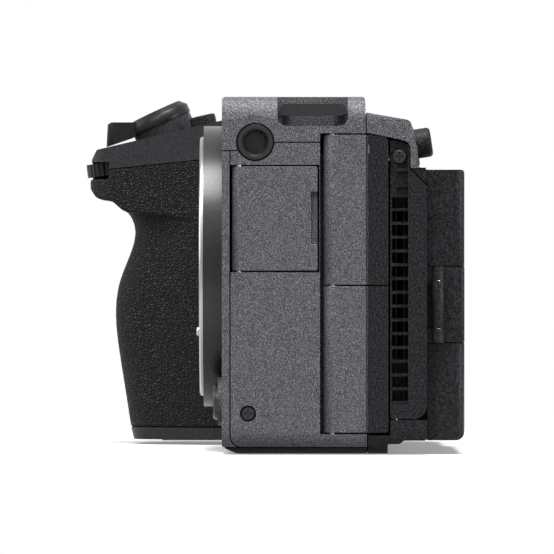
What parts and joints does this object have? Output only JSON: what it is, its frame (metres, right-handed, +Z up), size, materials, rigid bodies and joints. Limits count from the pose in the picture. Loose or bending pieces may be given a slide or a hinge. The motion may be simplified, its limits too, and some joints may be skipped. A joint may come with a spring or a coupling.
{
  "type": "cinema camera body",
  "caption": "Compact cinema camera body with side grip, lens bayonet, swing-out monitor, hinged port doors, vent, dials and threaded accessory holes.",
  "frame": {"origin": "mouth of the tripod thread in the flat base, under the optical axis and the sensor plane", "axes": "+X to the port side (monitor hinge), +Y to the rear, -Y the way the lens looks, +Z up"},
  "size_m": [0.1297, 0.0852, 0.0795],
  "materials": {
    "casing_metal": "fine sand texture, satin",
    "dark_plastic": "fine spark texture, matt",
    "grip_rubber": "leather grain, matt",
    "smooth_plastic": "smooth, satin",
    "black_metal": "semi-gloss",
    "bright_metal": "turned, polished",
    "steel": "turned",
    "dial_metal": "black anodised, knurled",
    "aluminium": "bare",
    "inner_plastic": "matt",
    "board": "lacquered board",
    "sensor": "filter glass over the sensor",
    "battery_case": "moulded",
    "screen_glass": "dark cover glass",
    "button_red": "gloss"
  },
  "bodies": {
    "chassis": {"front_cover": "casing_metal", "top_cover": "casing_metal", "left_side_cover": "casing_metal", "right_side_cover": "casing_metal", "rear_shoulder_cover": "casing_metal", "rear_cover": "dark_plastic", "base_plate": "dark_plastic", "vent_cover": "dark_plastic", "grip_top_cover": "smooth_plastic", "grip_cover": "grip_rubber", "grip_base_cap": "smooth_plastic", "thread_inserts": "black_metal", "strap_bars": "black_metal", "accessory_shoe": "bright_metal", "mount_base_ring": "black_metal", "mount_flange": "bright_metal", "lens_contact_block": "inner_plastic", "shutter_frame": "inner_plastic", "stabiliser_frame": "aluminium", "main_board": "board", "heat_sink": "aluminium", "fan_housing": "inner_plastic", "battery": "battery_case", "card_slot_unit": "inner_plastic", "port_receptacles": "inner_plastic", "case_screws": "black_metal", "monitor_hinge_bracket": "dark_plastic", "hinge_pins": "steel"},
    "shutter_curtain": {"shutter_curtain": "inner_plastic"},
    "sensor_carrier": {"sensor_carrier": "aluminium"},
    "image_sensor": {"image_sensor": "sensor"},
    "fan_rotor": {"fan_rotor": "inner_plastic"},
    "monitor": {"monitor_arm": "dark_plastic", "monitor_back": "dark_plastic", "monitor_bezel": "dark_plastic", "monitor_glass": "screen_glass"},
    "audio_door": {"audio_door": "casing_metal"},
    "video_door": {"video_door": "casing_metal", "video_door_edge": "dark_plastic"},
    "data_door": {"data_door": "casing_metal", "data_door_edge": "dark_plastic"},
    "battery_door": {"battery_door": "dark_plastic"},
    "battery_door_latch": {"battery_door_latch": "dark_plastic"},
    "card_door": {"card_door": "casing_metal"},
    "front_dial": {"front_dial": "dial_metal"},
    "zoom_lever": {"zoom_lever": "dial_metal"},
    "shutter_button": {"shutter_button": "black_metal"},
    "record_button": {"record_button": "button_red"},
    "custom_button_1": {"custom_button_1": "dark_plastic"},
    "custom_button_2": {"custom_button_2": "dark_plastic"},
    "joystick_gimbal": {"joystick_gimbal": "dark_plastic"},
    "joystick": {"joystick": "dark_plastic"},
    "af_button": {"af_button": "dark_plastic"},
    "control_wheel": {"control_wheel": "dial_metal"},
    "centre_button": {"centre_button": "dark_plastic"},
    "rear_dial": {"rear_dial": "dial_metal"},
    "power_switch": {"power_switch": "dark_plastic"},
    "lens_release_button": {"lens_release_button": "black_metal"},
    "lock_pin": {"lock_pin": "bright_metal"},
    "menu_button": {"menu_button": "dark_plastic"}
  },
  "joints": [
    {"name": "shutter_travel", "type": "slide", "parent": "chassis", "child": "shutter_curtain", "axis": [0, 0, 1], "range_m": [0, 0.0245]},
    {"name": "sensor_shift_sideways", "type": "slide", "parent": "chassis", "child": "sensor_carrier", "axis": [1, 0, 0], "range_m": [-0.0015, 0.0015], "stiffness_N_per_m": 400},
    {"name": "sensor_shift_upright", "type": "slide", "parent": "sensor_carrier", "child": "image_sensor", "axis": [0, 0, 1], "range_m": [-0.0015, 0.0015], "stiffness_N_per_m": 400},
    {"name": "fan_spin", "type": "hinge", "parent": "chassis", "child": "fan_rotor", "pos_m": [0.026, 0.023, 0.037], "axis": [0, 1, 0], "continuous": true},
    {"name": "monitor_swing", "type": "hinge", "parent": "chassis", "child": "monitor", "pos_m": [0.048, 0.03425, 0.0325], "axis": [0, 0, -1], "range_deg": [0, 176]},
    {"name": "audio_door_swing", "type": "hinge", "parent": "chassis", "child": "audio_door", "pos_m": [0.0485, -0.0091, 0.0512], "axis": [0, 0, -1], "range_deg": [0, 90]},
    {"name": "video_door_swing", "type": "hinge", "parent": "chassis", "child": "video_door", "pos_m": [0.0481, 0.0112, 0.053], "axis": [0, 0, -1], "range_deg": [0, 90]},
    {"name": "data_door_swing", "type": "hinge", "parent": "chassis", "child": "data_door", "pos_m": [0.0481, 0.0112, 0.0206], "axis": [0, 0, -1], "range_deg": [0, 90]},
    {"name": "battery_door_swing", "type": "hinge", "parent": "chassis", "child": "battery_door", "pos_m": [-0.0509, -0.00715, 0.0017], "axis": [0, -1, 0], "range_deg": [0, 90]},
    {"name": "battery_door_latch_slide", "type": "slide", "parent": "battery_door", "child": "battery_door_latch", "axis": [1, 0, 0], "range_m": [0, 0.0012]},
    {"name": "card_door_swing", "type": "hinge", "parent": "chassis", "child": "card_door", "pos_m": [-0.0782, 0.0255, 0.036], "axis": [0, 0, -1], "range_deg": [0, 90]},
    {"name": "front_dial_spin", "type": "hinge", "parent": "chassis", "child": "front_dial", "pos_m": [-0.062, -0.0366, 0.064], "axis": [0, -0.1219, 0.9925], "continuous": true},
    {"name": "zoom_lever_turn", "type": "hinge", "parent": "chassis", "child": "zoom_lever", "pos_m": [-0.062, -0.029, 0.077], "axis": [0, -0.4226, 0.9063], "range_deg": [-15, 15], "stiffness_Nm_per_rad": 0.02},
    {"name": "shutter_button_press", "type": "slide", "parent": "chassis", "child": "shutter_button", "axis": [0, 0.4226, -0.9063], "range_m": [0, 0.0008], "stiffness_N_per_m": 300},
    {"name": "record_button_press", "type": "slide", "parent": "chassis", "child": "record_button", "axis": [0, 0, -1], "range_m": [0, 0.0005], "stiffness_N_per_m": 300},
    {"name": "custom_button_1_press", "type": "slide", "parent": "chassis", "child": "custom_button_1", "axis": [0, 0.2233, -0.9748], "range_m": [0, 0.0006], "stiffness_N_per_m": 300},
    {"name": "custom_button_2_press", "type": "slide", "parent": "chassis", "child": "custom_button_2", "axis": [0, 0.2233, -0.9748], "range_m": [0, 0.0006], "stiffness_N_per_m": 300},
    {"name": "joystick_tilt_upright", "type": "hinge", "parent": "chassis", "child": "joystick_gimbal", "pos_m": [-0.045, 0.02704, 0.06849], "axis": [1, 0, 0], "range_deg": [-8, 8], "stiffness_Nm_per_rad": 0.02},
    {"name": "joystick_tilt_sideways", "type": "hinge", "parent": "joystick_gimbal", "child": "joystick", "pos_m": [-0.045, 0.02704, 0.06849], "axis": [0, -0.1495, 0.9888], "range_deg": [-8, 8], "stiffness_Nm_per_rad": 0.02},
    {"name": "af_button_press", "type": "slide", "parent": "chassis", "child": "af_button", "axis": [0, -0.9888, -0.1495], "range_m": [0, 0.0005], "stiffness_N_per_m": 300},
    {"name": "control_wheel_spin", "type": "hinge", "parent": "chassis", "child": "control_wheel", "pos_m": [-0.052, 0.038, 0.027], "axis": [0, 1, 0], "continuous": true},
    {"name": "centre_button_press", "type": "slide", "parent": "chassis", "child": "centre_button", "axis": [0, -1, 0], "range_m": [0, 0.0003], "stiffness_N_per_m": 300},
    {"name": "rear_dial_spin", "type": "hinge", "parent": "chassis", "child": "rear_dial", "pos_m": [-0.066, 0.0275, 0.0557], "axis": [0, 0, 1], "continuous": true},
    {"name": "power_switch_slide", "type": "slide", "parent": "chassis", "child": "power_switch", "axis": [-1, 0, 0], "range_m": [0, 0.0035]},
    {"name": "lens_release_button_press", "type": "slide", "parent": "chassis", "child": "lens_release_button", "axis": [0, 1, 0], "range_m": [0, 0.0009], "stiffness_N_per_m": 400},
    {"name": "lock_pin_retract", "type": "slide", "parent": "chassis", "child": "lock_pin", "axis": [0, 1, 0], "range_m": [0, 0.0009]},
    {"name": "menu_button_press", "type": "slide", "parent": "chassis", "child": "menu_button", "axis": [0, -0.9888, -0.1495], "range_m": [0, 0.0005], "stiffness_N_per_m": 300}
  ],
  "couplings": [
    {"joint": "lock_pin_retract", "follows": "lens_release_button_press", "ratio": 1}
  ]
}
